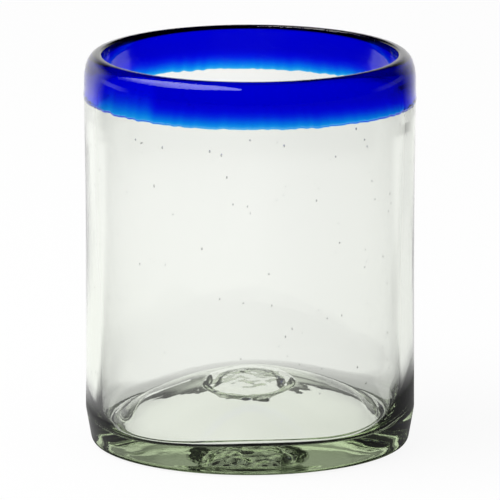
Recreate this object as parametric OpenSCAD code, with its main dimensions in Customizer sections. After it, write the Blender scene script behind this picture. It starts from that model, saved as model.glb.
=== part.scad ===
// Hand-blown double old fashioned glass with a cobalt rim.
// Three pieces of glass, gathered apart and fused hot: the clear blown body,
// the cobalt band that forms the lip, and the bit of glass that the pontil rod
// left in the kick under the base. Millimetres, +Z up, origin at the centre of
// the foot.

/* [Body] */
// Overall height
height = 106; // [95:0.5:120]
// Outer diameter at the waist, the narrowest part of the wall
waist_d = 88.2; // [82:0.2:94]
// Height of the waist above the foot
waist_z = 62; // [45:1:75]
// How far the heel swells out past the waist
heel_swell = 0.15; // [0:0.05:1]
// Height of the bend between the wall and the heel
heel_z = 8.5; // [7:0.5:14]
// Length over which that bend is rounded, each way
heel_blend = 4.3; // [1:0.1:4.5]
// Wall thickness at the waist
wall_t = 3; // [2:0.1:4]
// Wall thickness just above the base
base_wall_t = 4.1; // [3:0.1:5]
// Height at which the wall has thickened for the base
base_wall_z = 26; // [22:1:40]
// Length over which the bore bends there, each way
base_wall_blend = 8; // [2:0.5:8]

/* [Base] */
// How far the foot's edge is set in from the heel, before it is rounded
foot_set = 1.75; // [0.5:0.05:3]
// Length over which the foot's outer edge is rounded, each way
foot_edge = 2; // [0.5:0.1:2.5]
// Width of the ring that the glass stands on, before its edges are rounded
foot_ring_w = 9.5; // [6:0.5:12]
// Length over which the ring's inner edge is rounded, each way
foot_ring_edge = 2; // [0.5:0.1:2.5]
// Height of the kick, the hollow pushed up under the base
kick_h = 7.4; // [6:0.2:9]
// Length over which the kick's shoulder is rounded, each way
kick_blend = 4; // [1:0.5:6]
// Glass between the kick and the floor inside
floor_t = 7.6; // [5:0.2:10]
// Diameter at which the floor bends down from its middle
floor_top_d = 28; // [26:1:36]
// Length over which that bend is rounded, each way
floor_blend = 12; // [2:0.5:12.5]
// Height of the floor's outer edge before it is filleted
floor_edge_z = 6.5; // [5:0.1:8]
// Length over which the floor and the wall are filleted, each way
floor_fillet = 5.9; // [2:0.1:7]

/* [Cobalt rim] */
// How far the lip swells out past the waist
lip_swell = 0.3; // [0:0.05:1.5]
// Radius of the lip's outer roll
lip_roll = 4.1; // [2.5:0.1:5]
// Radius of the lip's inner edge
lip_edge = 0.7; // [0.4:0.1:1.5]
// Depth of the thick throat inside the lip
throat_h = 6; // [5.5:0.5:8]
// Depth below the rim at which the wall has thinned to its full bore
lip_h = 20; // [18:0.5:26]
// Length over which the bore bends below the throat, each way
throat_blend = 4; // [1:0.5:4]
// Depth of the blue band on the outside of the wall
band_h = 13; // [9:0.5:16]
// Depth of the blue band on the inside, at the top of the seam
band_in_h = 7; // [6:0.5:8.5]

/* [Pontil mark] */
// Diameter of the bit of glass left by the pontil rod
pontil_d = 23; // [20:0.5:26]
// Level rim of the kick around that bit
pontil_margin = 0.8; // [0.5:0.1:2]
// Depth of the broken ring below its seat
pontil_t = 2.2; // [1.5:0.1:3]
// Length over which the ring's edges are rounded, each way
pontil_edge = 0.5; // [0.2:0.1:0.6]
// Diameter of the hollow scar inside the ring
scar_d = 17; // [14:0.5:18]
// Depth of that scar below the ring
scar_h = 1; // [0.6:0.1:1.3]
// Level rim of the scar that the ripples stop at
scar_margin = 0.8; // [0.5:0.1:1.5]
// Number of shell-shaped ripples across the scar
ripples = 5; // [2:1:5]
// Distance between ripples
ripple_step = 2.3; // [1.8:0.1:2.5]
// Radius of the groove that forms a ripple
ripple_groove = 0.3; // [0.2:0.05:0.5]

/* [Hidden] */

// Greatest distance between an arc and its chords
chord_error = 0.012;
// Widest angle between the points of an arc
arc_step = 10;
// Sine of the bend below which a corner is left as it is
least_bend = 0.0001;
// How far a cutting shape runs past the surfaces that it cuts
over = 5;
$fn = 96;

waist_r = waist_d / 2;
heel_r = waist_r + heel_swell;
foot_r = heel_r - foot_set;
lip_r = waist_r + lip_swell;
lip_in_r = lip_r - lip_roll - lip_edge;
bore_r = waist_r - wall_t;
base_in_r = heel_r - base_wall_t;
floor_top = kick_h + floor_t;
pontil_r = pontil_d / 2;
seat_r = pontil_r + pontil_margin + kick_blend;
ring_z = kick_h - pontil_t;
scar_r = scar_d / 2;
scar_z = ring_z + scar_h;
scar_floor_r = scar_r - scar_h;

// Outer and inner ends of the scarf seam between clear and cobalt glass
seam_out = [lip_r, height - band_h];
seam_in = [lip_in_r, height - band_in_h];

// Half section of the whole glass as corners: radius, height, and the length
// over which the corner is rounded. It runs from the kick out to the foot, up
// the wall, over the lip, down the bore and along the floor to the axis.
glass_corners = [
    [0, kick_h, 0],
    [seat_r, kick_h, kick_blend],
    [foot_r - foot_ring_w, 0, foot_ring_edge],
    [foot_r, 0, foot_edge],
    [heel_r, heel_z, heel_blend],
    [waist_r, waist_z, 0],
    [lip_r, height, lip_roll],
    [lip_in_r, height, lip_edge],
    [lip_in_r, height - throat_h, throat_blend],
    [bore_r, height - lip_h, throat_blend],
    [base_in_r, base_wall_z, base_wall_blend],
    [base_in_r, floor_edge_z, floor_fillet],
    [floor_top_d / 2, floor_top, floor_blend],
    [0, floor_top, 0],
];

// Half section of the pontil's bit: its seat, the scar and the ring around it
pontil_corners = [
    [0, kick_h, 0],
    [0, scar_z, 0],
    [scar_floor_r, scar_z, pontil_edge],
    [scar_r, ring_z, pontil_edge],
    [pontil_r, ring_z, pontil_edge],
    [pontil_r, kick_h, 0],
];

function unit(v) = v / norm(v);

// Points of the arc that rounds corner b between its neighbours a and c, and
// that starts and ends at the length blend from b
function corner_arc(a, b, c, blend) =
    let (
        to_a = unit(a - b),
        to_c = unit(c - b),
        half = acos(to_a * to_c) / 2,
        radius = blend * tan(half),
        centre = b + unit(to_a + to_c) * blend / cos(half),
        start = b + to_a * blend - centre,
        first = atan2(start.y, start.x),
        turn = (180 - 2 * half) * sign(cross(b - a, c - b)),
        step = min(arc_step, 2 * acos(1 - chord_error / radius)),
        count = max(1, ceil(abs(turn) / step))
    )
    [for (i = [0:count]) centre + radius * [cos(first + turn * i / count), sin(first + turn * i / count)]];

// Points of one corner: an arc, or the corner itself where nothing bends
function corner_points(a, b, c, blend) =
    let (bend = cross(unit(b - a), unit(c - b)))
    blend == 0 || abs(bend) < least_bend ? [b] : corner_arc(a, b, c, blend);

function place(corner) = [corner.x, corner.y];

// Points of an outline that is given as a ring of corners
function rounded(corners) =
    let (count = len(corners))
    [
        for (i = [0:count - 1])
            let (
                before = place(corners[(i + count - 1) % count]),
                here = place(corners[i]),
                after = place(corners[(i + 1) % count])
            )
            each corner_points(before, here, after, corners[i].z)
    ];

module glass_section() {
    polygon(rounded(glass_corners));
}

// Everything above the scarf seam, which slopes up from the outside of the
// wall to its bore
module above_seam() {
    slope = unit(seam_in - seam_out);
    polygon([
        seam_out - slope * over,
        [lip_r + over, height + over],
        [lip_in_r - over, height + over],
        seam_in + slope * over,
    ]);
}

module clear_body() {
    color([0.87, 0.92, 0.88, 0.4])
    rotate_extrude()
    difference() {
        glass_section();
        above_seam();
    }
}

module cobalt_rim() {
    color([0.02, 0.05, 0.68, 0.85])
    rotate_extrude()
    intersection() {
        glass_section();
        above_seam();
    }
}

// Ripples of the shell-shaped break: grooves round the point on the scar's
// edge where the glass let go, kept inside the scar
module scar_ripples() {
    intersection() {
        translate([0, 0, scar_z])
        cylinder(r = scar_floor_r - scar_margin, h = scar_h, center = true);
        translate([-scar_floor_r, 0, scar_z])
        rotate_extrude()
        for (n = [1:ripples])
            translate([n * ripple_step, 0])
            circle(r = ripple_groove);
    }
}

module pontil_mark() {
    color([0.75, 0.84, 0.72, 0.6])
    difference() {
        rotate_extrude()
        polygon(rounded(pontil_corners));
        scar_ripples();
    }
}

clear_body();
cobalt_rim();
pontil_mark();
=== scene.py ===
import math
import random

import bpy
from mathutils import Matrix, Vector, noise


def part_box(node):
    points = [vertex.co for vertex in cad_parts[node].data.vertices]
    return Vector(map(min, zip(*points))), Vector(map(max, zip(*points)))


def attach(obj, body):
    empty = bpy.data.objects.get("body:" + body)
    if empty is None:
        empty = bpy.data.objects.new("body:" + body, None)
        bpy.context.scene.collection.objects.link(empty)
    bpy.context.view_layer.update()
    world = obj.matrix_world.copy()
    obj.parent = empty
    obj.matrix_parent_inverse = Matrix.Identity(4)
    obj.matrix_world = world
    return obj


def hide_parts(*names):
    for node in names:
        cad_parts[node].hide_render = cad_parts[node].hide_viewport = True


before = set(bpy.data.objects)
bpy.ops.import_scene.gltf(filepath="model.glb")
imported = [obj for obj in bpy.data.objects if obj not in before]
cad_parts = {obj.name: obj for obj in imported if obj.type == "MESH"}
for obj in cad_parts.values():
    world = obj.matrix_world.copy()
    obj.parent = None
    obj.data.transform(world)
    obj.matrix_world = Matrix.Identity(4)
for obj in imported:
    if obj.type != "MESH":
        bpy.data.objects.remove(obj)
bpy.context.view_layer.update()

# Shapes are worked out in millimetres and built in metres. Azimuths on the glass run from its front,
# positive to the right.
MM = 0.001

# Outside of the glass. HEEL_TOP is on the wall above the heel's bend, and the section of the lip's roll is a
# superellipse of LIP_POWER.
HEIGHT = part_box("cobalt_rim")[1].z / MM
WAIST_R, WAIST_Z = 44.1, 62.0
HEEL_R, HEEL_Z, HEEL_BLEND, HEEL_TOP = 44.2, 9.6, 0.7, 12.6
FOOT_R, FOOT_EDGE = 42.5, 2.0
REST_R = 36.0
LIP_R, LIP_Z, LIP_ROLL, LIP_EDGE, LIP_POWER = 44.4, 98.0, 4.1, 0.7, 2.5
LIP_TOP_R = LIP_R - LIP_ROLL
LIP_IN_R = LIP_TOP_R - LIP_EDGE

# Swells of the wall outside and in the bore, and the length over which they die out below the lip
OUT_SWELL, BORE_SWELL, SWELL_END = 0.08, 0.16, 20.0

# Base: a dome of nearly even thickness, whose hollow underneath was pushed up a little behind the middle
DOME_R, DOME_H, DOME_POWER = 36.0, 11.3, 1.8
BASE_T, KICK_Y, KICK_EDGE_R, KICK_SHOULDER = 8.0, 9.0, 35.0, 7.0

# Bowl
BORE_R, BORE_Z, THROAT_Z = 41.1, 86.0, 103.0
BASE_IN_R, BASE_WALL_Z = 40.3, 22.0

# Valley round the bowl's floor: its height, its fall to the front, its lean to the right, and its hills as
# azimuth in degrees, width and height
FLOOR_Z, FLOOR_TILT, FLOOR_LEAN = 7.7, -1.5, 0.8
FRONT_HILL = (0, 37, 1.65)
FLOOR_HILLS = [(95, 38, 0.6), (-95, 38, 0.6), FRONT_HILL, (180, 43, 1.5)]

# Corner between the bowl's wall and floor: its width and height, and what it has more at the other sides
CORNER, CORNER_FRONT, CORNER_BACK = (1.8, 1.0), (1.0, 1.8), (1.2, 2.6)
CORNER_LEFT, CORNER_RIGHT = (1.6, 7.5), (3.8, 15.0)
CORNER_POWER, CORNER_POWER_BACK = 2.3, 1.5
# How far round the tall corners reach: powers of the sine and cosine, and the back's azimuth and width
CORNER_SIDE_REACH, CORNER_FRONT_REACH = 8, 2
CORNER_BACK_REACH = (175, 60)

# Cobalt band: height of its lower edge, how that tilts and leans, and its long waves
BAND_Z, BAND_TILT, BAND_LEAN, BAND_WAVE = 93.6, 0.25, -0.45, 0.16
# The cobalt's blunt edge: its thickness, the height of its rounding, how far it stands proud of the wall,
# and the heights over which it does so
EDGE_T, EDGE_RISE, EDGE_PROUD, EDGE_SWELL, EDGE_FALL = 0.3, 0.3, 0.12, 0.6, 2.4
# How its thickness grows upwards from there, by powers of the height
GROW_T = (0.20, 0.045, 0.006)
# Where it grows more slowly: by what share, from and to which azimuth, and how softly this starts and ends
THIN_SHARE, THIN_FROM, THIN_TO, THIN_START, THIN_END = 0.36, -85, -34, 25, 5
# Where it grows faster, as a hill
THICK_HILL = (70, 40, 0.12)
# Search for the top of the seam, and how its points crowd towards the edge
SEAM_REACH, SEAM_HALVINGS, SEAM_CROWDING = 10.0, 24, 1.6
# How far fused pieces run into each other at the seam and at the pontil's seat
SEAM_LIFT, SEAT_LIFT = 0.021, 0.03

# Pontil scar: its middle, its edge and the waves in that, and the hollow inside the broken ring
PONTIL_Y, PONTIL_R, PONTIL_WAVE, SCAR_R = 3.3, 11.2, 0.6, 6.0
# Thickness of the ring, of the scar's floor, and the least of all
RING_T, SCAR_T, LEAST_T = 1.7, 0.25, 0.05
# Widths of the ring's two slopes, of the thin edge, and of the calm middle
RING_IN, RING_OUT, SCAR_THIN, SCAR_CALM = 3.0, 3.2, 1.5, 1.5
# The part of the kick that is fused to it: how far inside its edge, and up to which height over the kick
FUSE_MARGIN, FUSE_HEIGHT = 0.3, 1.0

# Fine unevenness as layers of noise: height, width of a hill, and the layer's number
UNDER_WAVE = 0.04
UNDER_RIPPLES = [(1.0, 7.0, 1), (0.4, 3.0, 2)]
EDGE_TEETH = [(0.34, 2.6, 3), (0.22, 1.3, 4)]
SCAR_RIPPLES = [(0.25, 4.0, 5), (0.3, 1.8, 6)]
LAYER_STEP = 7.31

# Seeds: azimuth in degrees and height of the larger ones, and the number, heights and sizes of the fine ones
MAIN_SEEDS = [(-32, 87.7), (-44, 88.7), (-14, 87.8), (-10, 86.8), (0, 91), (12, 89.2), (31, 85.4), (40, 92),
              (44, 88.7), (41, 27.5), (46, 22.5), (-8, 81), (-36, 77), (24, 74), (33, 62), (-17, 61.5)]
MAIN_SEED_SIZE = 0.22
FINE_SEEDS, FINE_SEED_Z, FINE_SEED_SIZES = 150, (20, 92), (0.08, 0.1, 0.13, 0.17)
# Where a seed lies between the two faces of the wall, as shares, and how much taller than wide it is
SEED_DEPTH, SEED_TALL = (0.2, 0.8), (1, 2)
# Specks in the cobalt: a range of azimuth and a count, then their heights, sizes and depth
COBALT_SPECKS = [(-57, -37, 30), (-30, -12, 14), (-80, 80, 25)]
SPECK_Z, SPECK_SIZES, SPECK_DEPTH = (99.6, 102.4), (0.06, 0.08, 0.11), 0.12
SEED_DRAWS = 21

# Mesh fineness
COLUMNS, PONTIL_COLUMNS, PONTIL_ROWS = 540, 180, 36
KICK_ROWS, REST_ROWS, FOOT_ROWS, HEEL_ROWS, WALL_ROWS = 44, 2, 12, 6, 18
SEAM_ROWS, BORE_ROWS, CORNER_ROWS, FLOOR_ROWS = 16, 18, 22, 32
BAND_ROWS, LIP_ROWS, LIP_EDGE_ROWS, THROAT_ROWS = 12, 26, 9, 14
SEED_RINGS, SEED_SIDES = 5, 8
SHARP_ANGLE = 35

# Glass: what it takes from light, per metre, for red, green and blue, and its index of refraction, which is
# that of nothing where two pieces are fused
CLEAR_ABSORB = (7.8, 4.8, 12.0)
COBALT_ABSORB = (9000.0, 2240.0, 85.0)
GLASS_IOR, FUSED_IOR = 1.5, 1.0
# Cords in its surface: how they are drawn out upwards, their scale and detail, their depth in metres, and
# the range of the noise over which the surface gets rougher, with the amount
CORD_STRETCH, CORD_SCALE, CORD_DETAIL, CORD_DEPTH = (1, 1, 0.25), 160, 3, 0.0004
CORD_RANGE, CORD_ROUGHER = (0.3, 0.7), 0.02

WHITE = (1, 1, 1, 1)


class Wave:
    """A smooth uneven swell round the axis, about one unit high, as handwork leaves it."""

    FALL, SCALE = 0.7, 1.6

    def __init__(self, seed, lobes, reach, first=1):
        draws = random.Random(seed)
        self.terms = []
        for n in range(first, first + lobes):
            size = draws.uniform(0.5, 1) / (n - first + 1) ** self.FALL
            self.terms.append((n, draws.uniform(0, 2 * math.pi), draws.uniform(-1, 1) / reach, size))

    def __call__(self, phi, along=0.0):
        total = sum(size * math.cos(n * phi + start + drift * along) for n, start, drift, size in self.terms)
        return total / self.SCALE


out_wave = Wave(seed=1, lobes=4, reach=18, first=2)
bore_wave = Wave(seed=2, lobes=5, reach=14)
edge_wave = Wave(seed=5, lobes=16, reach=20, first=3)
scar_wave = Wave(seed=7, lobes=9, reach=1.2)


def smooth(t):
    """A smooth step from 0 to 1."""
    t = max(0.0, min(1.0, t))
    return t * t * (3 - 2 * t)


def mix(a, b, t):
    """The number at the share t of the way from a to b."""
    return a + (b - a) * t


def steps(a, b, count):
    """count numbers after a, the last of them b."""
    return [mix(a, b, i / count) for i in range(1, count + 1)]


def turns(count):
    """count angles round a circle."""
    return [2 * math.pi * j / count for j in range(count)]


def hill(phi, azimuth, width, height=1.0):
    """A hill round an azimuth in degrees."""
    away = (math.degrees(phi) - azimuth + 180) % 360 - 180
    return height * math.exp(-((away / width) ** 2))


def ripples(x, y, layers):
    """Random swells, each between about minus and plus its layer's height."""
    total = 0.0
    for height, width, layer in layers:
        total += height * noise.noise((x / width, y / width, layer * LAYER_STEP))
    return total


def arc(centre, radius, first, last, count):
    """Points of a circle's arc, angles in degrees."""
    angles = [math.radians(mix(first, last, i / count)) for i in range(count + 1)]
    return [(centre[0] + radius * math.cos(a), centre[1] + radius * math.sin(a)) for a in angles]


def fillet(a, b, c, blend, count):
    """Points of the curve that rounds corner b over the length blend."""
    start = [mix(b[k], a[k], blend / math.dist(a, b)) for k in (0, 1)]
    end = [mix(b[k], c[k], blend / math.dist(b, c)) for k in (0, 1)]
    points = []
    for t in [0] + steps(0, 1, count):
        points.append(tuple(mix(mix(start[k], b[k], t), mix(b[k], end[k], t), t) for k in (0, 1)))
    return points


def wall_out(z, phi):
    """Outer radius of the wall between the heel and the lip's roll."""
    if z < WAIST_Z:
        r = mix(HEEL_R, WAIST_R, smooth((z - HEEL_Z) / (WAIST_Z - HEEL_Z)))
    else:
        r = mix(WAIST_R, LIP_R, smooth((z - WAIST_Z) / (LIP_Z - WAIST_Z)))
    return r + OUT_SWELL * out_wave(phi, z) * smooth((LIP_Z - z) / SWELL_END)


def wall_in(z, phi):
    """Radius of the bore above the bowl's corner."""
    if z < BORE_Z:
        r = mix(BASE_IN_R, BORE_R, smooth((z - BASE_WALL_Z) / (BORE_Z - BASE_WALL_Z)))
    else:
        r = mix(BORE_R, LIP_IN_R, smooth((z - BORE_Z) / (THROAT_Z - BORE_Z)))
    return r + BORE_SWELL * bore_wave(phi, z) * smooth((THROAT_Z - z) / SWELL_END)


def dome(r):
    """Rise of the base towards its middle."""
    return DOME_H * (1 - min(1, r / DOME_R) ** DOME_POWER)


def kick_height(x, y):
    """Height of the hollow under the base."""
    r = math.hypot(x, y)
    push = FLOOR_Z - BASE_T + dome(math.hypot(x, y - KICK_Y))
    push += max(0.0, UNDER_WAVE * (1 + ripples(x, y, UNDER_RIPPLES)))
    push += hill(math.atan2(x, -y), *FRONT_HILL) * min(1, r / DOME_R)
    return max(0.0, push) * smooth((KICK_EDGE_R - r) / KICK_SHOULDER)


def underside(phi):
    """Outline of the bottom, from the axis through the kick to the foot and the heel."""
    reach = [0] + steps(0, KICK_EDGE_R, KICK_ROWS) + steps(KICK_EDGE_R, REST_R, REST_ROWS)
    points = [(r, kick_height(r * math.sin(phi), -r * math.cos(phi))) for r in reach]
    rest, foot, heel, wall = (REST_R, 0), (FOOT_R, 0), (HEEL_R, HEEL_Z), (HEEL_R, HEEL_TOP)
    points += fillet(rest, foot, heel, FOOT_EDGE, FOOT_ROWS)
    return points + fillet(foot, heel, wall, HEEL_BLEND, HEEL_ROWS)


def band_edge(phi):
    """Height of the blue band's ragged lower edge."""
    level = BAND_Z + BAND_TILT * math.cos(phi) + BAND_LEAN * math.sin(phi)
    x, y = LIP_R * math.sin(phi), LIP_R * math.cos(phi)
    return level + BAND_WAVE * edge_wave(phi) + ripples(x, y, EDGE_TEETH)


def band_out(u, edge, phi):
    """Outer radius of the band at the height u above its edge, which stands a little proud."""
    proud = smooth(u / EDGE_SWELL) * (1 - smooth((u - EDGE_SWELL) / EDGE_FALL))
    return wall_out(edge + u, phi) + EDGE_PROUD * proud


def cobalt_t(u, phi):
    """Thickness of the cobalt at the height u above the band's lower edge."""
    azimuth = (math.degrees(phi) + 180) % 360 - 180
    thin = smooth((azimuth - THIN_FROM) / THIN_START) * smooth((THIN_TO - azimuth) / THIN_END)
    u *= 1 - THIN_SHARE * thin + hill(phi, *THICK_HILL)
    blunt = EDGE_T * math.sqrt(max(0, 1 - (1 - min(u / EDGE_RISE, 1)) ** 2))
    return blunt + sum(k * u ** (n + 1) for n, k in enumerate(GROW_T))


def seam(phi, edge):
    """Points of the seam between clear and cobalt glass, from the outside of the wall up to its bore."""
    low, high = 0.0, SEAM_REACH
    for _ in range(SEAM_HALVINGS):
        u = (low + high) / 2
        if cobalt_t(u, phi) < band_out(u, edge, phi) - wall_in(edge + u, phi):
            low = u
        else:
            high = u
    rise = [0] + [low * t ** SEAM_CROWDING for t in steps(0, 1, SEAM_ROWS)]
    return [(band_out(u, edge, phi) - cobalt_t(u, phi), edge + u) for u in rise]


def floor_edge(phi):
    """Height of the valley round the bowl's floor."""
    tilt = FLOOR_TILT * max(0, math.cos(phi)) + FLOOR_LEAN * math.sin(phi)
    return FLOOR_Z + tilt + sum(hill(phi, *shape) for shape in FLOOR_HILLS)


def corner_size(phi):
    """Width, height and power of the bowl's corner, which is tall at the back and at the two sides."""
    side = math.sin(phi) ** CORNER_SIDE_REACH
    back = hill(phi, *CORNER_BACK_REACH)
    front = max(0, math.cos(phi)) ** CORNER_FRONT_REACH
    side_more = CORNER_RIGHT if math.sin(phi) > 0 else CORNER_LEFT
    wide, tall = [
        plain + side * at_side + back * at_back + front * at_front
        for plain, at_side, at_back, at_front in zip(CORNER, side_more, CORNER_BACK, CORNER_FRONT)
    ]
    return wide, tall, mix(CORNER_POWER, CORNER_POWER_BACK, back)


def bowl_corner(phi):
    """The rounded corner between the bowl's wall and its floor."""
    wide, tall, power = corner_size(phi)
    points = []
    for a in [0] + steps(0, math.pi / 2, CORNER_ROWS):
        across = 1 - max(0, math.cos(a)) ** (2 / power)
        up = 1 - math.sin(a) ** (2 / power)
        z = floor_edge(phi) + up * tall
        points.append((wall_in(z, phi) - across * wide, z))
    return points


def bowl_floor(phi, edge_r):
    """The floor from the corner to the axis."""
    points = []
    for r in steps(edge_r, 0, FLOOR_ROWS):
        tilted = mix(FLOOR_Z, floor_edge(phi), r / edge_r)
        points.append((r, tilted + dome(r * DOME_R / edge_r)))
    return points


def body_outline(phi, edge, joint):
    """Outline of the clear body: underside, wall, seam, bore, corner and floor."""
    bottom, bend = underside(phi), bowl_corner(phi)
    wall = [(wall_out(z, phi), z) for z in steps(bottom[-1][1], edge, WALL_ROWS)[:-1]]
    lifted = joint[:1] + [(r + SEAM_LIFT, z + SEAM_LIFT) for r, z in joint[1:-1]] + joint[-1:]
    bore = [(wall_in(z, phi), z) for z in steps(joint[-1][1], bend[0][1], BORE_ROWS)[:-1]]
    return bottom + wall + lifted + bore + bend + bowl_floor(phi, bend[-1][0])


def lip_outline():
    """Outline of the lip: its outer roll and its inner edge."""
    points = []
    for a in steps(0, math.pi / 2, LIP_ROWS)[:-1]:
        out, up = math.cos(a) ** (2 / LIP_POWER), math.sin(a) ** (2 / LIP_POWER)
        points.append((LIP_TOP_R + LIP_ROLL * out, mix(LIP_Z, HEIGHT, up)))
    return points + arc((LIP_TOP_R, HEIGHT - LIP_EDGE), LIP_EDGE, 90, 180, LIP_EDGE_ROWS)


def rim_outline(phi, edge, joint):
    """Outline of the cobalt rim: the band's outside, lip, throat and seam."""
    rise = [(LIP_Z - edge) * t * t for t in steps(0, 1, BAND_ROWS)]
    band = [(band_out(u, edge, phi), edge + u) for u in rise]
    throat = [(wall_in(z, phi), z) for z in steps(HEIGHT - LIP_EDGE, joint[-1][1], THROAT_ROWS)[:-1]]
    return band + lip_outline() + throat + joint[::-1]


def glass_outlines(phi):
    """Outlines of the clear body and of the cobalt rim at one azimuth, as lists of (radius, height)."""
    edge = band_edge(phi)
    joint = seam(phi, edge)
    return body_outline(phi, edge, joint), rim_outline(phi, edge, joint)


def scar_edge(phi):
    """Radius of the bit of glass that the pontil rod left, about its own middle."""
    return PONTIL_R + PONTIL_WAVE * scar_wave(phi)


def pontil_outline(phi):
    """Outline of that bit, with the hollow scar inside its broken ring, and then its seat."""
    edge = scar_edge(phi)
    broken, seat = [], []
    for r in [0] + steps(0, edge, PONTIL_ROWS):
        x, y = r * math.sin(phi), PONTIL_Y - r * math.cos(phi)
        ripple = ripples(x, y, SCAR_RIPPLES) * smooth(r / SCAR_CALM)
        ring = smooth((r - SCAR_R) / RING_IN) * smooth((edge - r) / RING_OUT)
        thickness = max(LEAST_T, SCAR_T + RING_T * ring + ripple) * smooth((edge - r) / SCAR_THIN)
        broken.append((r, kick_height(x, y) - thickness))
        seat.append((r, kick_height(x, y) + SEAT_LIFT))
    return broken + seat[-2::-2]


def lathe(columns, poles, fused, back=0.0):
    """Points, faces and fusion marks of a closed surface from one outline a column, about an axis set back
    from the middle. With poles, the outlines run from the axis to the axis. Faces between two rows in fused
    are marked, because the glass goes on there without a surface of its own."""
    rows, count = len(columns[0]), len(columns)
    first, last = (1, rows - 1) if poles else (0, rows)
    kept = last - first
    points, faces, marks = [], [], []
    for phi, outline in zip(turns(count), columns):
        for r, z in outline[first:last]:
            points.append((r * math.sin(phi) * MM, (back - r * math.cos(phi)) * MM, z * MM))
    for j in range(count):
        here, beside = j * kept, (j + 1) % count * kept
        for i in range(kept - 1 if poles else kept):
            k = (i + 1) % kept
            faces.append((here + i, beside + i, beside + k, here + k))
            marks.append(float(first + i in fused and first + k in fused))
        if poles:
            low, high = count * kept, count * kept + 1
            faces += [(low, beside, here), (high, here + kept - 1, beside + kept - 1)]
            marks += [0.0, 0.0]
    if poles:
        points += [(0, back * MM, columns[0][end][1] * MM) for end in (0, -1)]
    return points, faces, marks


def body_shell(outlines):
    """The clear body's surface, fused to the cobalt along the seam."""
    seam_row = len(underside(0)) + WALL_ROWS - 1
    return lathe([body for body, rim in outlines], True, range(seam_row, seam_row + SEAM_ROWS + 1))


def rim_shell(outlines):
    """The cobalt rim's surface, a closed ring, whose last rows are the seam."""
    rows = len(outlines[0][1])
    return lathe([rim for body, rim in outlines], False, range(rows - SEAM_ROWS - 1, rows))


def pontil_shell():
    """The surface of the pontil's bit, fused to the kick over its seat."""
    outlines = [pontil_outline(phi) for phi in turns(PONTIL_COLUMNS)]
    return lathe(outlines, True, range(PONTIL_ROWS, len(outlines[0])), back=PONTIL_Y)


def fuse_scar(shell):
    """Marks the faces of the kick that the pontil's bit is fused to."""
    points, faces, marks = shell
    for i, face in enumerate(faces):
        x, y, z = [sum(points[p][k] for p in face) / len(face) / MM for k in range(3)]
        inside = scar_edge(math.atan2(x, PONTIL_Y - y)) - FUSE_MARGIN
        if math.hypot(x, y - PONTIL_Y) < inside and z < kick_height(x, y) + FUSE_HEIGHT:
            marks[i] = 1.0


def add_seed(shell, phi, r, z, size, tall):
    """A small air bubble in the glass: a closed shell whose faces look into it."""
    points, faces, marks = shell
    start = len(points)
    x, y = r * math.sin(phi), -r * math.cos(phi)
    for down in steps(0, math.pi, SEED_RINGS)[:-1]:
        wide, high = size * math.sin(down), size * tall * math.cos(down)
        for turn in turns(SEED_SIDES):
            corner = (x + wide * math.cos(turn), y + wide * math.sin(turn), z + high)
            points.append(tuple(c * MM for c in corner))
    top, bottom = len(points), len(points) + 1
    points += [(x * MM, y * MM, (z + size * tall) * MM), (x * MM, y * MM, (z - size * tall) * MM)]
    last = start + (SEED_RINGS - 2) * SEED_SIDES
    for j in range(SEED_SIDES):
        k = (j + 1) % SEED_SIDES
        faces.append((top, start + k, start + j))
        for ring in range(start, last, SEED_SIDES):
            below = ring + SEED_SIDES
            faces.append((ring + j, ring + k, below + k, below + j))
        faces.append((bottom, last + j, last + k))
    marks += [0.0] * (len(faces) - len(marks))


def add_wall_seeds(body, draws):
    """The larger seeds where the photo shows them, and finer ones all round."""
    seeds = [(math.radians(azimuth), z, MAIN_SEED_SIZE) for azimuth, z in MAIN_SEEDS]
    for _ in range(FINE_SEEDS):
        phi, z = draws.uniform(0, 2 * math.pi), draws.uniform(*FINE_SEED_Z)
        seeds.append((phi, z, draws.choice(FINE_SEED_SIZES)))
    for phi, z, size in seeds:
        r = mix(wall_in(z, phi) + 2 * size, wall_out(z, phi) - 2 * size, draws.uniform(*SEED_DEPTH))
        add_seed(body, phi, r, z, size, draws.uniform(*SEED_TALL))


def add_cobalt_specks(rim, draws):
    """Specks close under the surface of the lip's roll."""
    for first, last, count in COBALT_SPECKS:
        for _ in range(count):
            z, size = draws.uniform(*SPECK_Z), draws.choice(SPECK_SIZES)
            roll = LIP_ROLL * math.sqrt(1 - ((z - LIP_Z) / (HEIGHT - LIP_Z)) ** 2)
            phi = math.radians(draws.uniform(first, last))
            add_seed(rim, phi, LIP_TOP_R + roll - SPECK_DEPTH - size, z, size, 1)


def make_piece(name, shell, material, node):
    """A mesh object that stands in for one node of the CAD model."""
    points, faces, marks = shell
    mesh = bpy.data.meshes.new(name)
    mesh.from_pydata(points, [], faces)
    mesh.attributes.new("fused", "FLOAT", "FACE").data.foreach_set("value", marks)
    mesh.shade_smooth()
    mesh.set_sharp_from_angle(angle=math.radians(SHARP_ANGLE))
    mesh.materials.append(material)
    piece = bpy.data.objects.new(name, mesh)
    bpy.context.scene.collection.objects.link(piece)
    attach(piece, "root")
    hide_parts(node)


def feed(tree, socket, value):
    """Gives a socket a number or another node's output."""
    if isinstance(value, bpy.types.NodeSocket):
        tree.links.new(value, socket)
    else:
        socket.default_value = value


def math_node(tree, operation, *values):
    """A Math node on one or two values, each a number or an output."""
    node = tree.nodes.new("ShaderNodeMath")
    node.operation = operation
    for socket, value in zip(node.inputs, values):
        feed(tree, socket, value)
    return node.outputs[0]


def times(tree, value, *others):
    """The product of several values."""
    for other in others:
        value = math_node(tree, "MULTIPLY", value, other)
    return value


def most(tree, value, *others):
    """The largest of several values."""
    for other in others:
        value = math_node(tree, "MAXIMUM", value, other)
    return value


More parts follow.
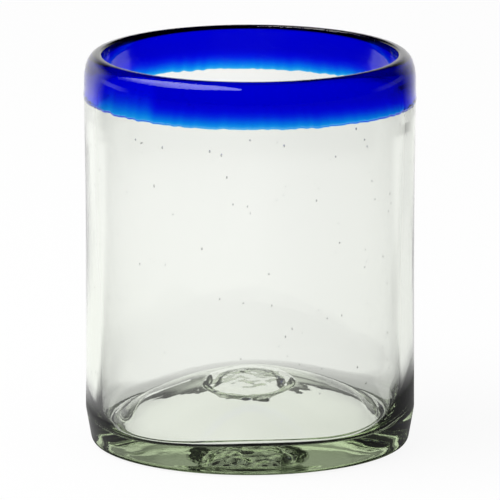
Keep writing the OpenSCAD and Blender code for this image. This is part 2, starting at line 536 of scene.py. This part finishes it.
def ramp_node(tree, value, low, high, at_low, at_high):
    """A smooth step of a value from at_low to at_high."""
    node = tree.nodes.new("ShaderNodeMapRange")
    node.interpolation_type = "SMOOTHSTEP"
    tree.links.new(value, node.inputs["Value"])
    for name, number in (("From Min", low), ("From Max", high), ("To Min", at_low), ("To Max", at_high)):
        node.inputs[name].default_value = number
    return node.outputs["Result"]


def turn_ramp(tree, angle, low, high, at_low, at_high):
    """A smooth step over an angle, its ends in degrees."""
    return ramp_node(tree, angle, math.radians(low), math.radians(high), at_low, at_high)


def pick(tree, when, other, chosen):
    """chosen where when is 1, and other where it is 0."""
    node = tree.nodes.new("ShaderNodeMix")
    for socket, value in zip((node.inputs[0], node.inputs[2], node.inputs[3]), (when, other, chosen)):
        feed(tree, socket, value)
    return node.outputs[0]


def add_cords(tree, shader, roughness, strength):
    """Faint upright cords in the surface of the glass."""
    place = tree.nodes.new("ShaderNodeMapping")
    place.inputs["Scale"].default_value = CORD_STRETCH
    tree.links.new(tree.nodes.new("ShaderNodeTexCoord").outputs["Object"], place.inputs["Vector"])
    cords = tree.nodes.new("ShaderNodeTexNoise")
    cords.inputs["Scale"].default_value = CORD_SCALE
    cords.inputs["Detail"].default_value = CORD_DETAIL
    tree.links.new(place.outputs["Vector"], cords.inputs["Vector"])
    swell = tree.nodes.new("ShaderNodeBump")
    swell.inputs["Strength"].default_value = strength
    swell.inputs["Distance"].default_value = CORD_DEPTH
    tree.links.new(cords.outputs["Fac"], swell.inputs["Height"])
    tree.links.new(swell.outputs["Normal"], shader.inputs["Normal"])
    rough = ramp_node(tree, cords.outputs["Fac"], *CORD_RANGE, roughness, roughness + CORD_ROUGHER)
    tree.links.new(rough, shader.inputs["Roughness"])


def glass_material(name, absorb, roughness, cord):
    """Glass that absorbs light by its depth, and has no surface where it is fused."""
    material = bpy.data.materials.new(name)
    material.use_nodes = True
    tree = material.node_tree
    shader = tree.nodes["Principled BSDF"]
    shader.inputs["Base Color"].default_value = WHITE
    shader.inputs["Transmission Weight"].default_value = 1.0
    add_cords(tree, shader, roughness, cord)
    mark = tree.nodes.new("ShaderNodeAttribute")
    mark.attribute_name = "fused"
    tree.links.new(ramp_node(tree, mark.outputs["Fac"], 0, 1, GLASS_IOR, FUSED_IOR), shader.inputs["IOR"])
    volume = tree.nodes.new("ShaderNodeVolumeAbsorption")
    density = max(absorb)
    volume.inputs["Color"].default_value = tuple(1 - a / density for a in absorb) + (1,)
    volume.inputs["Density"].default_value = density
    tree.links.new(volume.outputs["Volume"], tree.nodes["Material Output"].inputs["Volume"])
    return material


def clear_glass():
    """Fire-polished glass with a faint green of its own."""
    return glass_material("clear_glass", CLEAR_ABSORB, roughness=0.0, cord=0.06)


def cobalt_glass():
    """Fire-polished glass that lets little but blue through."""
    return glass_material("cobalt_glass", COBALT_ABSORB, roughness=0.0, cord=0.04)


def pontil_glass():
    """The body's glass where it was broken off, dull and rough."""
    return glass_material("pontil_glass", CLEAR_ABSORB, roughness=0.12, cord=0.5)


def build_glass():
    """The three fused pieces."""
    outlines = [glass_outlines(phi) for phi in turns(COLUMNS)]
    body, rim, pontil = body_shell(outlines), rim_shell(outlines), pontil_shell()
    draws = random.Random(SEED_DRAWS)
    add_wall_seeds(body, draws)
    add_cobalt_specks(rim, draws)
    fuse_scar(body)
    make_piece("clear_body_glass", body, clear_glass(), "clear_body")
    make_piece("cobalt_rim_glass", rim, cobalt_glass(), "cobalt_rim")
    make_piece("pontil_scar_glass", pontil, pontil_glass(), "pontil_mark")


# Studio, in metres. Each step of its light gives where it starts and ends, and the level at either end.
# Azimuths here are in degrees from straight behind the glass, positive to the right.
FLOOR_HALF, FLOOR_DROP = 4.0, -0.0002
PAPER_COLOUR, PAPER_GLOW, PAPER_LEAST = (0.8, 0.8, 0.8, 1), 0.9, 0.02

# Faces of the glass that a ray has passed, give or take: at the wall's edges and inside the rim, beside the
# scar, and the number above which it shows the scar itself
WALL_FACES, BASE_FACES, SCAR_FACES = (2, 0.5), (6, 1.5), 9.5

# The white sector behind the glass, by azimuth
SECTOR_LEFT, SECTOR_RIGHT = (-65, -40, 0, 1), (15, 55, 1, 0)

# The paper in reflections. By distance from the axis: the glass's shade at the left and the right, the
# paper's ends at the front, at the back for the outer surface and for rays in the glass, and a fall there
SHADE_LEFT, SHADE_RIGHT = (0.058, 0.092, 0, 1), (0.085, 0.125, 0, 1)
FRONT_END, BACK_END, BACK_END_INSIDE = (0.3, 0.46, 1, 0), (0.4, 0.5, 1, 0), (0.7, 1.1, 1, 0)
BACK_FALL = (0.26, 0.3, 1, 0.93)
# By x: the change of shade from left to right, and the light at the front and the back
SHADE_SIDE, FRONT_SIDE, BACK_SIDE = (-0.02, 0.02, 0, 1), (-0.02, 0.12, 1, 0.8), (-0.1, 0.1, 0.98, 0.87)
# By azimuth: the change from back to front, and what the inside of the rim sees at the sides
BACK_TO_FRONT, RIM_SIDES = (55, 75, 0, 1), (56, 66, 1, 0.1)
# Light round the heel, by distance and by x, and the paper that shows beside the scar
HEEL_START, HEEL_END, HEEL_SIDE = (0.041, 0.046, 0, 0.3), (0.12, 0.25, 1, 0), (-0.04, 0.0, 1, 0.5)
BESIDE_SCAR = (0.046, 0.06, 0, 0.85)

# The paper through the glass: painted shade that darkens its right side, the painted shadow ring round the
# foot, and the dim sector of painted shade, by azimuth and distance
THROUGH_SHADE_SIDE, SHADOW_RING_START, SHADOW_RING_END = (-0.02, 0.045, 1, 0.93), (0.038, 0.045, 0, 0.4), (0.05, 0.085, 0, 0.4)
DIM_LEFT, DIM_RIGHT, DIM_AWAY = (22, 36, 0, 0.45), (58, 72, 1, 0), (0.12, 0.22, 0, 1)

# The sky, by the parts of its direction or by azimuth: its height behind the glass, and the strip along the
# horizon in the outer surface
SKY_TOP, ROOM_LIGHT = (0.15, 0.45, 1, 0), 0.75
STRIP_TOP, STRIP_SIDE, STRIP_BACK = (0.06, 0.11, 1, 0), (-0.4, 0.4, 0.55, 0.15), (0.0, 0.3, 0, 1)
# The sky for rays that are mirrored in the glass: its sides and top, and the light under the band
INNER_LEFT, INNER_RIGHT, INNER_TOP = (-55, -30, 0, 0.9), (30, 55, 0.9, 0), (0.7, 0.9, 1, 0.3)
UNDER_BAND_TOP, UNDER_BAND_TURN, UNDER_BAND_SIDE = (0.14, 0.24, 1, 0), (40, 55, 1, 0), (-0.3, 0.3, 1, 0.85)
# Its share in the front face of the base, which has more straight ahead, and beside the scar
FACE_LEVEL, FACE_TOP = 0.3, (0.64, 0.72, 1, 0.1)
AHEAD_TURN, AHEAD_TOP = (12, 18, 0.2, 0), (0.55, 0.6, 1, 0)
WING_TOP = (0.56, 0.66, 0.3, 1)

# Softbox: height, outline of its cloth, and its strength by distance from the sheet's origin
SOFTBOX_Z, SOFTBOX_FADE = 1.1, (0.6, 2.2, 5.0, 0.3)
SOFTBOX_CLOTH = [(-0.10, -0.60), (-0.25, -0.15), (-0.42, 0.12), (-0.6, 0.27), (-1.05, 0.36), (-2.0, 0.93),
                 (-2.7, 0.96), (-2.0, 0.0), (-1.5, -0.63), (-0.8, -0.95), (-0.1, -0.9)]


class Place:
    """A point on the floor or a direction in the sky, with its azimuth from straight behind the glass."""

    def __init__(self, tree, vector):
        parts = tree.nodes.new("ShaderNodeSeparateXYZ")
        tree.links.new(vector, parts.inputs[0])
        self.x, self.y, self.z = [parts.outputs[name] for name in "XYZ"]
        self.azimuth = math_node(tree, "ARCTAN2", self.x, self.y)
        self.turned = math_node(tree, "ABSOLUTE", self.azimuth)


class Spot(Place):
    """A point on the floor, with its distance from the glass's axis."""

    def __init__(self, tree):
        super().__init__(tree, tree.nodes.new("ShaderNodeNewGeometry").outputs["Position"])
        squares = times(tree, self.x, self.x), times(tree, self.y, self.y)
        self.away = math_node(tree, "SQRT", math_node(tree, "ADD", *squares))


def mirrored(tree, path):
    """1 for a ray that has been mirrored."""
    return math_node(tree, "GREATER_THAN", path.outputs["Glossy Depth"], 0.5)


def outside(tree, path):
    """1 for a ray that has not been in the glass."""
    return math_node(tree, "LESS_THAN", path.outputs["Transmission Depth"], 0.5)


def passed(tree, path, count, spread):
    """1 for a ray that has passed about count faces of the glass."""
    off = math_node(tree, "SUBTRACT", path.outputs["Transmission Depth"], count)
    return math_node(tree, "LESS_THAN", math_node(tree, "ABSOLUTE", off), spread)


def left_over(tree, value):
    """What value leaves of 1."""
    return math_node(tree, "SUBTRACT", 1.0, value)


def back_sector(tree, azimuth):
    """Light from behind the glass, against the dark sides of the studio."""
    left = turn_ramp(tree, azimuth, *SECTOR_LEFT)
    return math_node(tree, "MINIMUM", left, turn_ramp(tree, azimuth, *SECTOR_RIGHT))


def unshaded(tree, spot):
    """0 in the shade that the glass throws close round itself, and 1 beyond it."""
    left, right = ramp_node(tree, spot.away, *SHADE_LEFT), ramp_node(tree, spot.away, *SHADE_RIGHT)
    return pick(tree, ramp_node(tree, spot.x, *SHADE_SIDE), left, right)


def front_paper(tree, spot, path):
    """The paper at the front and the sides in reflections, which the wall's edges don't show."""
    paper = times(tree, ramp_node(tree, spot.away, *FRONT_END), ramp_node(tree, spot.x, *FRONT_SIDE))
    return times(tree, paper, left_over(tree, passed(tree, path, *WALL_FACES)))


def back_paper(tree, spot, path):
    """The paper behind the glass in reflections, which goes on farther for rays in the glass."""
    paper = times(tree, ramp_node(tree, spot.x, *BACK_SIDE), ramp_node(tree, spot.away, *BACK_FALL))
    inner, outer = ramp_node(tree, spot.away, *BACK_END_INSIDE), ramp_node(tree, spot.away, *BACK_END)
    return times(tree, paper, pick(tree, outside(tree, path), inner, outer))


def heel_light(tree, spot):
    """Faint light on the paper close round the heel."""
    ring = times(tree, ramp_node(tree, spot.away, *HEEL_START), ramp_node(tree, spot.away, *HEEL_END))
    return times(tree, ring, ramp_node(tree, spot.x, *HEEL_SIDE))


def mirrored_paper(tree, spot, path):
    """What reflections see of the paper: it ends near the glass at the front and the sides."""
    around = turn_ramp(tree, spot.turned, *BACK_TO_FRONT)
    paper = pick(tree, around, back_paper(tree, spot, path), front_paper(tree, spot, path))
    paper = times(tree, unshaded(tree, spot), most(tree, paper, back_sector(tree, spot.azimuth)))
    paper = most(tree, paper, heel_light(tree, spot), PAPER_LEAST)
    in_rim = turn_ramp(tree, spot.turned, *RIM_SIDES)
    paper = times(tree, paper, pick(tree, passed(tree, path, *WALL_FACES), 1.0, in_rim))
    beside_scar = times(tree, passed(tree, path, *BASE_FACES), ramp_node(tree, spot.away, *BESIDE_SCAR))
    return most(tree, paper, beside_scar)


def paper_through_glass(tree, spot):
    """What is seen of the paper through the glass, with painted shade on it."""
    # Painted shadow: a dark ring round the foot, and painted shade on the paper's right side
    shadow_ring_start, shadow_ring_end = ramp_node(tree, spot.away, *SHADOW_RING_START), ramp_node(tree, spot.away, *SHADOW_RING_END)
    ring = math_node(tree, "SUBTRACT", shadow_ring_start, shadow_ring_end)
    lit = math_node(tree, "SUBTRACT", ramp_node(tree, spot.x, *THROUGH_SHADE_SIDE), ring)
    dim = times(tree, turn_ramp(tree, spot.azimuth, *DIM_LEFT), turn_ramp(tree, spot.azimuth, *DIM_RIGHT),
                ramp_node(tree, spot.away, *DIM_AWAY))
    return times(tree, lit, left_over(tree, dim))


def bare_material(name):
    """A material without a shader."""
    material = bpy.data.materials.new(name)
    material.use_nodes = True
    nodes = material.node_tree.nodes
    nodes.remove(nodes["Principled BSDF"])
    return material


def floor_material():
    """White paper. It glows most of the way to white and keeps a soft shadow, and the glass shows it as the
    photo's studio does, with dark sides and a dark front."""
    material = bare_material("white_floor")
    tree = material.node_tree
    path, spot = tree.nodes.new("ShaderNodeLightPath"), Spot(tree)
    in_mirror, through = mirrored(tree, path), path.outputs["Is Transmission Ray"]
    straight = pick(tree, through, 1.0, paper_through_glass(tree, spot))
    level = pick(tree, in_mirror, straight, mirrored_paper(tree, spot, path))
    glow = tree.nodes.new("ShaderNodeEmission")
    tree.links.new(level, glow.inputs["Strength"])
    paper = tree.nodes.new("ShaderNodeBsdfDiffuse")
    paper.inputs["Color"].default_value = PAPER_COLOUR
    blend = tree.nodes.new("ShaderNodeMixShader")
    tree.links.new(most(tree, pick(tree, in_mirror, PAPER_GLOW, 1.0), through), blend.inputs["Fac"])
    tree.links.new(paper.outputs["BSDF"], blend.inputs[1])
    tree.links.new(glow.outputs["Emission"], blend.inputs[2])
    tree.links.new(blend.outputs["Shader"], tree.nodes["Material Output"].inputs["Surface"])
    return material


def softbox_material():
    """The lamp's cloth, brightest at its near edge, seen in the glass's outer surface but not through it."""
    material = bare_material("softbox_cloth")
    tree = material.node_tree
    away = tree.nodes.new("ShaderNodeVectorMath")
    away.operation = "LENGTH"
    tree.links.new(tree.nodes.new("ShaderNodeTexCoord").outputs["Object"], away.inputs[0])
    fade = ramp_node(tree, away.outputs["Value"], *SOFTBOX_FADE)
    glow = tree.nodes.new("ShaderNodeEmission")
    in_surface = outside(tree, tree.nodes.new("ShaderNodeLightPath"))
    tree.links.new(times(tree, in_surface, fade), glow.inputs["Strength"])
    tree.links.new(glow.outputs["Emission"], tree.nodes["Material Output"].inputs["Surface"])
    return material


def stage_sheet(name, outline, height, material):
    """A flat sheet of the studio, level at a height."""
    mesh = bpy.data.meshes.new(name)
    mesh.from_pydata([(x, y, 0) for x, y in outline], [], [tuple(range(len(outline)))])
    mesh.materials.append(material)
    sheet = bpy.data.objects.new(name, mesh)
    sheet.location = (0, 0, height)
    bpy.context.scene.collection.objects.link(sheet)
    return sheet


def build_studio():
    """The floor, and a softbox above the left that shows as the streak on the lip."""
    square = [(x * FLOOR_HALF, y * FLOOR_HALF) for x, y in ((-1, -1), (1, -1), (1, 1), (-1, 1))]
    stage_sheet("floor", square, FLOOR_DROP, floor_material())
    softbox = stage_sheet("softbox", SOFTBOX_CLOTH, SOFTBOX_Z, softbox_material())
    softbox.visible_camera = False


def sky_outside(tree, way, low):
    """The sky in the outer surface: white low down behind the glass, and a faint strip along the horizon."""
    strip = times(tree, ramp_node(tree, way.z, *STRIP_TOP), ramp_node(tree, way.x, *STRIP_SIDE),
                  ramp_node(tree, way.y, *STRIP_BACK))
    return most(tree, times(tree, low, back_sector(tree, way.azimuth)), strip)


def base_share(tree, way, path):
    """How much of the sky shows in the front face of the base, in the scar and beside it."""
    ahead = times(tree, turn_ramp(tree, way.turned, *AHEAD_TURN), ramp_node(tree, way.z, *AHEAD_TOP))
    face = times(tree, math_node(tree, "ADD", ahead, FACE_LEVEL), ramp_node(tree, way.z, *FACE_TOP))
    in_scar = math_node(tree, "GREATER_THAN", path.outputs["Transmission Depth"], SCAR_FACES)
    wings = ramp_node(tree, way.z, *WING_TOP)
    return pick(tree, passed(tree, path, *BASE_FACES), pick(tree, in_scar, face, 1.0), wings)


def sky_inside(tree, way, path):
    """The sky for rays that are mirrored in the glass."""
    left, right = turn_ramp(tree, way.azimuth, *INNER_LEFT), turn_ramp(tree, way.azimuth, *INNER_RIGHT)
    sky = times(tree, math_node(tree, "MINIMUM", left, right), ramp_node(tree, way.z, *INNER_TOP),
                base_share(tree, way, path))
    band_sides = turn_ramp(tree, way.turned, *UNDER_BAND_TURN)
    under_band = times(tree, band_sides, ramp_node(tree, way.z, *UNDER_BAND_TOP),
                       ramp_node(tree, way.x, *UNDER_BAND_SIDE))
    return most(tree, sky, under_band)


def build_world():
    """White to the camera. To the glass, white behind, dark above, and dark at the front and the sides."""
    world = bpy.data.worlds.new("studio")
    bpy.context.scene.world = world
    world.use_nodes = True
    tree = world.node_tree
    path = tree.nodes.new("ShaderNodeLightPath")
    way = Place(tree, tree.nodes.new("ShaderNodeTexCoord").outputs["Generated"])
    low = ramp_node(tree, way.z, *SKY_TOP)
    in_mirror = pick(tree, outside(tree, path), sky_inside(tree, way, path), sky_outside(tree, way, low))
    seen = pick(tree, mirrored(tree, path), low, in_mirror)
    by_glass = most(tree, path.outputs["Is Glossy Ray"], path.outputs["Is Transmission Ray"])
    level = pick(tree, path.outputs["Is Camera Ray"], pick(tree, by_glass, ROOM_LIGHT, seen), 1.0)
    sky = tree.nodes["Background"]
    sky.inputs["Color"].default_value = WHITE
    tree.links.new(level, sky.inputs["Strength"])


def build_camera():
    """The camera that was fitted to the glass's outline in the photo."""
    distance, pitch, aim = 2.2, math.radians(12.27), 0.05213
    photo_pixels, focal_pixels, sensor = 500, 8199, 36.0
    data = bpy.data.cameras.new("camera")
    data.sensor_width = sensor
    data.lens = focal_pixels * sensor / photo_pixels
    camera = bpy.data.objects.new("camera", data)
    camera.location = (0, -distance * math.cos(pitch), aim + distance * math.sin(pitch))
    camera.rotation_euler = (math.pi / 2 - pitch, 0, 0)
    bpy.context.scene.collection.objects.link(camera)
    bpy.context.scene.camera = camera


build_glass()
build_studio()
build_world()
build_camera()

scene = bpy.context.scene
scene.view_settings.view_transform = "Standard"
# Light passes many faces of the glass in the base
scene.cycles.max_bounces = 32
scene.cycles.transmission_bounces = 32
scene.cycles.glossy_bounces = 16
